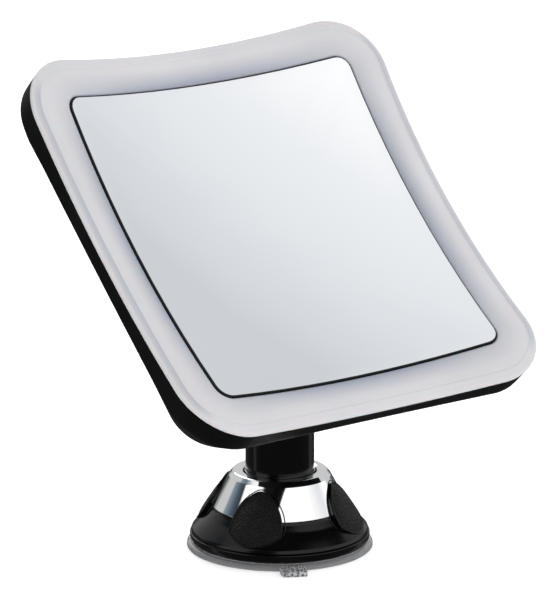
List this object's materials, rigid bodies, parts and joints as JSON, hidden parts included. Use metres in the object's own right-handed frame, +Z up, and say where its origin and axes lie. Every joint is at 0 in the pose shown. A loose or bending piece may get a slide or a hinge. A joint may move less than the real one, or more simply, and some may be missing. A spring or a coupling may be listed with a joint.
{
  "type": "lighted suction make-up mirror",
  "caption": "Square concave make-up mirror with a frosted light frame, tilting on a ball joint above a twist-lock suction base.",
  "frame": {"origin": "centre of the suction disc's underside, on the surface that the mirror stands on, on the axis of the knob and the neck", "axes": "+Z up along the neck; the head faces -Y and leans back; +X is to the right of a person looking into the mirror"},
  "size_m": [0.1842, 0.1406, 0.2072],
  "materials": {
    "clear_soft_plastic": "clear, soft, glossy",
    "black_gloss": "polished black",
    "black_satin": "satin black",
    "grip_rubber": "fine leather grain",
    "gasket_rubber": "matt black",
    "chrome": "mirror polished plating on plastic",
    "steel": "plain bright",
    "frosted_plastic": "milky frosted",
    "mirror_glass": "silvered, concave",
    "white_plastic": "natural white",
    "circuit_board": "white solder mask",
    "led": "phosphor behind clear resin, unlit",
    "battery_sleeve": "plain sleeve over a steel can",
    "brass": "bright"
  },
  "bodies": {
    "base": {"suction_disc": "clear_soft_plastic", "base_foot": "black_gloss", "snap_ring": "steel"},
    "lifter": {"lift_stud": "black_satin", "cross_pin": "steel"},
    "knob": {"knob_skirt": "black_gloss", "cam_sleeve": "white_plastic", "knob_screws": "steel", "chrome_cap": "chrome", "grip_1": "grip_rubber", "grip_2": "grip_rubber", "grip_3": "grip_rubber", "grip_4": "grip_rubber"},
    "neck": {"neck_tube": "black_gloss", "socket_cap": "black_gloss", "ball_cup": "white_plastic", "ball_spring": "steel"},
    "ball": {"ball_stud": "steel", "friction_washer": "steel", "stud_clip": "steel"},
    "head": {"rear_housing": "black_satin", "diffuser_frame": "frosted_plastic", "mirror_glass": "mirror_glass", "mirror_gasket": "gasket_rubber", "mirror_carrier": "white_plastic", "led_board": "circuit_board", "leds": "led", "board_screws": "steel", "battery_tray": "white_plastic", "batteries": "battery_sleeve", "battery_contacts": "brass", "switch_body": "black_satin"},
    "battery_lid": {"battery_door": "black_satin"},
    "switch": {"switch_slider": "black_satin"}
  },
  "joints": [
    {"name": "knob_twist", "type": "hinge", "parent": "base", "child": "knob", "pos_m": [0, 0, 0], "axis": [0, 0, -1], "range_deg": [0, 90]},
    {"name": "disc_lift", "type": "slide", "parent": "base", "child": "lifter", "axis": [0, 0, 1], "range_m": [0, 0.002]},
    {"name": "neck_swivel", "type": "hinge", "parent": "base", "child": "neck", "pos_m": [0, 0, 0.036], "axis": [0, 0, 1], "continuous": true},
    {"name": "head_tilt", "type": "hinge", "parent": "neck", "child": "ball", "pos_m": [0, 0, 0.0879], "axis": [1, 0, 0], "range_deg": [-45, 44]},
    {"name": "head_roll", "type": "hinge", "parent": "ball", "child": "head", "pos_m": [0, 0, 0.0879], "axis": [0, -0.7133, 0.7009], "range_deg": [-15, 15]},
    {"name": "lid_off", "type": "slide", "parent": "head", "child": "battery_lid", "axis": [0, 0.7133, -0.7009], "range_m": [0, 0.03]},
    {"name": "switch_slide", "type": "slide", "parent": "head", "child": "switch", "axis": [0, 0.7009, 0.7133], "range_m": [0, 0.004]}
  ],
  "couplings": [
    {"joint": "disc_lift", "follows": "knob_twist", "m_per_rad": 0.001273}
  ]
}
